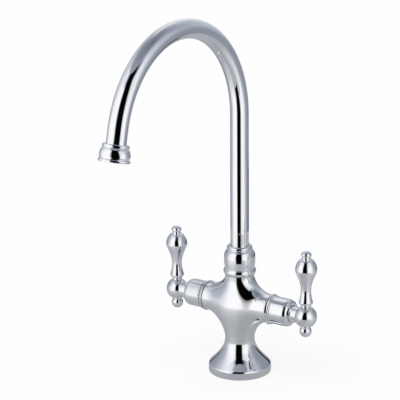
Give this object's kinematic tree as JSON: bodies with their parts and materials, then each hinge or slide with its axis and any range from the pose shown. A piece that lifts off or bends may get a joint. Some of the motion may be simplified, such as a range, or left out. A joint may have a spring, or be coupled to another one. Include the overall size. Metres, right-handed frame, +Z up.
{
  "type": "two handle kitchen faucet",
  "caption": "Single-hole kitchen faucet: a flared foot and cross-shaped body, a swivelling gooseneck spout with a bell tip, and baluster levers on ball hubs at the arms' ends.",
  "frame": {"origin": "centre of the foot's underside, on the deck's upper face, on the axis of the deck hole", "axes": "+Z up out of the deck, -Y the way the spout points at rest, +X towards the cold handle"},
  "size_m": [0.1736, 0.2398, 0.4275],
  "materials": {
    "chrome": "polished chrome plate on cast or drawn brass",
    "brass": "turned, unplated",
    "copper": "drawn copper tube, unplated",
    "steel": "plain stainless steel",
    "rubber": "matt black",
    "ceramic": "lapped white ceramic",
    "acetal": "moulded, off-white"
  },
  "bodies": {
    "fixed_body": {"faucet_body": "chrome", "spout_nut": "chrome", "base_gasket": "rubber", "mounting_shank": "brass", "deck_seal_washer": "rubber", "mounting_washer": "steel", "mounting_nut": "brass", "hot_inlet_tail": "copper", "cold_inlet_tail": "copper", "hot_bonnet_sleeve": "chrome", "hot_cartridge_housing": "brass", "hot_cartridge_seal": "rubber", "hot_seat_seal": "rubber", "hot_fixed_disc": "ceramic", "cold_bonnet_sleeve": "chrome", "cold_cartridge_housing": "brass", "cold_cartridge_seal": "rubber", "cold_seat_seal": "rubber", "cold_fixed_disc": "ceramic"},
    "spout": {"spout_tube": "chrome", "spout_foot": "brass", "spout_seal_lower": "rubber", "spout_seal_upper": "rubber", "spout_bearing_washer": "acetal", "spout_end_bell": "chrome", "aerator_washer": "rubber", "aerator_shell": "chrome", "aerator_insert": "acetal", "aerator_screen": "steel"},
    "hot_handle": {"hot_handle_hub": "chrome", "hot_lever": "chrome", "hot_lower_finial": "chrome", "hot_set_screw": "steel", "hot_valve_stem": "brass", "hot_moving_disc": "ceramic", "hot_stem_circlip": "steel"},
    "cold_handle": {"cold_handle_hub": "chrome", "cold_lever": "chrome", "cold_lower_finial": "chrome", "cold_set_screw": "steel", "cold_valve_stem": "brass", "cold_moving_disc": "ceramic", "cold_stem_circlip": "steel"}
  },
  "joints": [
    {"name": "spout_swivel", "type": "hinge", "parent": "fixed_body", "child": "spout", "pos_m": [0, 0, 0.114], "axis": [0, 0, 1], "continuous": true},
    {"name": "hot_handle_turn", "type": "hinge", "parent": "fixed_body", "child": "hot_handle", "pos_m": [-0.0759, 0, 0.0708], "axis": [1, 0, 0], "range_deg": [0, 90]},
    {"name": "cold_handle_turn", "type": "hinge", "parent": "fixed_body", "child": "cold_handle", "pos_m": [0.0759, 0, 0.0708], "axis": [1, 0, 0], "range_deg": [0, 90]}
  ]
}
